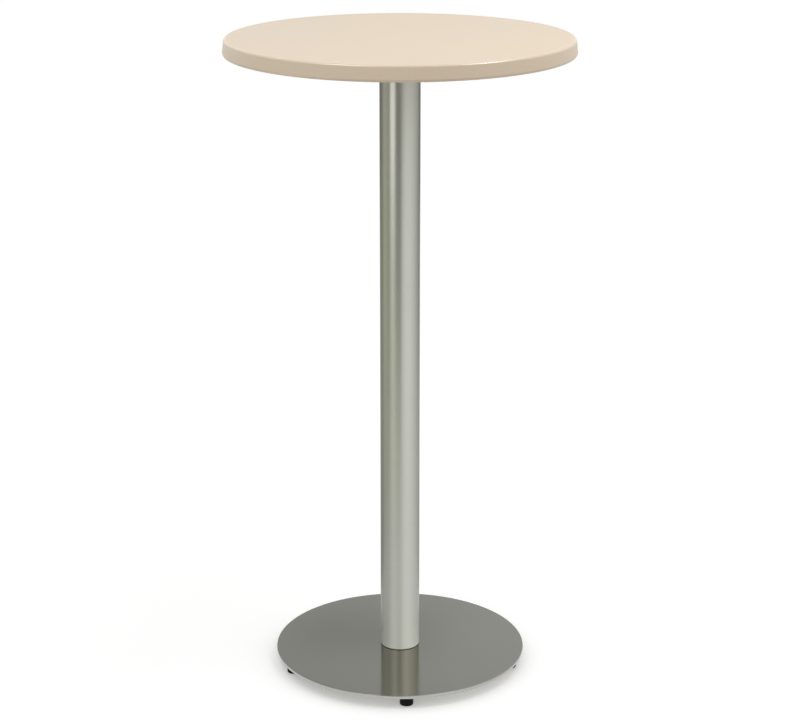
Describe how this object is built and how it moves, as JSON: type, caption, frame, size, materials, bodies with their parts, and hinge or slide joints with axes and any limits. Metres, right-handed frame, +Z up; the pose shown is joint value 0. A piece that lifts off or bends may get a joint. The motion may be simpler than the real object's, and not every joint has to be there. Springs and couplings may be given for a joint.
{
  "type": "pub table",
  "caption": "Bar-height pub table: round moulded laminate top with a rounded rim, slim round steel column and flat steel disc base on screw-in levelling glides.",
  "frame": {"origin": "on the floor, at the column's axis", "axes": "+Z up along the column, -Y towards the viewer in the picture, +X to the viewer's right"},
  "size_m": [0.5999, 0.6, 1.134],
  "materials": {
    "top_laminate": "satin cream laminate on a moulded wood-fibre core",
    "column_steel": "satin stainless steel, ground round the tube",
    "base_steel": "fine-ground stainless steel",
    "black_steel": "black powder coat",
    "zinc_steel": "bright zinc plate",
    "black_plastic": "moulded black nylon"
  },
  "bodies": {
    "table": {"table_top": "top_laminate", "spider": "black_steel", "spider_hub": "zinc_steel", "top_screws": "zinc_steel", "column_tube": "column_steel", "tie_rod": "zinc_steel", "column_locator": "zinc_steel", "base_plate": "base_steel", "tie_rod_washer": "zinc_steel", "tie_rod_spring_washer": "zinc_steel", "tie_rod_nut": "zinc_steel", "glide_bosses": "base_steel"},
    "stud_1": {"glide_stud_1": "zinc_steel"},
    "pad_1": {"glide_pad_1": "black_plastic"},
    "stud_2": {"glide_stud_2": "zinc_steel"},
    "pad_2": {"glide_pad_2": "black_plastic"},
    "stud_3": {"glide_stud_3": "zinc_steel"},
    "pad_3": {"glide_pad_3": "black_plastic"},
    "stud_4": {"glide_stud_4": "zinc_steel"},
    "pad_4": {"glide_pad_4": "black_plastic"},
    "stud_5": {"glide_stud_5": "zinc_steel"},
    "pad_5": {"glide_pad_5": "black_plastic"}
  },
  "joints": [
    {"name": "glide_1_travel", "type": "slide", "parent": "table", "child": "stud_1", "axis": [0, 0, -1], "range_m": [0, 0.005]},
    {"name": "glide_1_turn", "type": "hinge", "parent": "stud_1", "child": "pad_1", "pos_m": [0.01144, -0.20468, 0.006], "axis": [0, 0, -1], "range_deg": [0, 1440]},
    {"name": "glide_2_travel", "type": "slide", "parent": "table", "child": "stud_2", "axis": [0, 0, -1], "range_m": [0, 0.005]},
    {"name": "glide_2_turn", "type": "hinge", "parent": "stud_2", "child": "pad_2", "pos_m": [0.1982, -0.05237, 0.006], "axis": [0, 0, -1], "range_deg": [0, 1440]},
    {"name": "glide_3_travel", "type": "slide", "parent": "table", "child": "stud_3", "axis": [0, 0, -1], "range_m": [0, 0.005]},
    {"name": "glide_3_turn", "type": "hinge", "parent": "stud_3", "child": "pad_3", "pos_m": [0.11105, 0.17232, 0.006], "axis": [0, 0, -1], "range_deg": [0, 1440]},
    {"name": "glide_4_travel", "type": "slide", "parent": "table", "child": "stud_4", "axis": [0, 0, -1], "range_m": [0, 0.005]},
    {"name": "glide_4_turn", "type": "hinge", "parent": "stud_4", "child": "pad_4", "pos_m": [-0.12957, 0.15886, 0.006], "axis": [0, 0, -1], "range_deg": [0, 1440]},
    {"name": "glide_5_travel", "type": "slide", "parent": "table", "child": "stud_5", "axis": [0, 0, -1], "range_m": [0, 0.005]},
    {"name": "glide_5_turn", "type": "hinge", "parent": "stud_5", "child": "pad_5", "pos_m": [-0.19113, -0.07413, 0.006], "axis": [0, 0, -1], "range_deg": [0, 1440]}
  ],
  "couplings": [
    {"joint": "glide_1_travel", "follows": "glide_1_turn", "m_per_rad": 0.00019894},
    {"joint": "glide_2_travel", "follows": "glide_2_turn", "m_per_rad": 0.00019894},
    {"joint": "glide_3_travel", "follows": "glide_3_turn", "m_per_rad": 0.00019894},
    {"joint": "glide_4_travel", "follows": "glide_4_turn", "m_per_rad": 0.00019894},
    {"joint": "glide_5_travel", "follows": "glide_5_turn", "m_per_rad": 0.00019894}
  ]
}
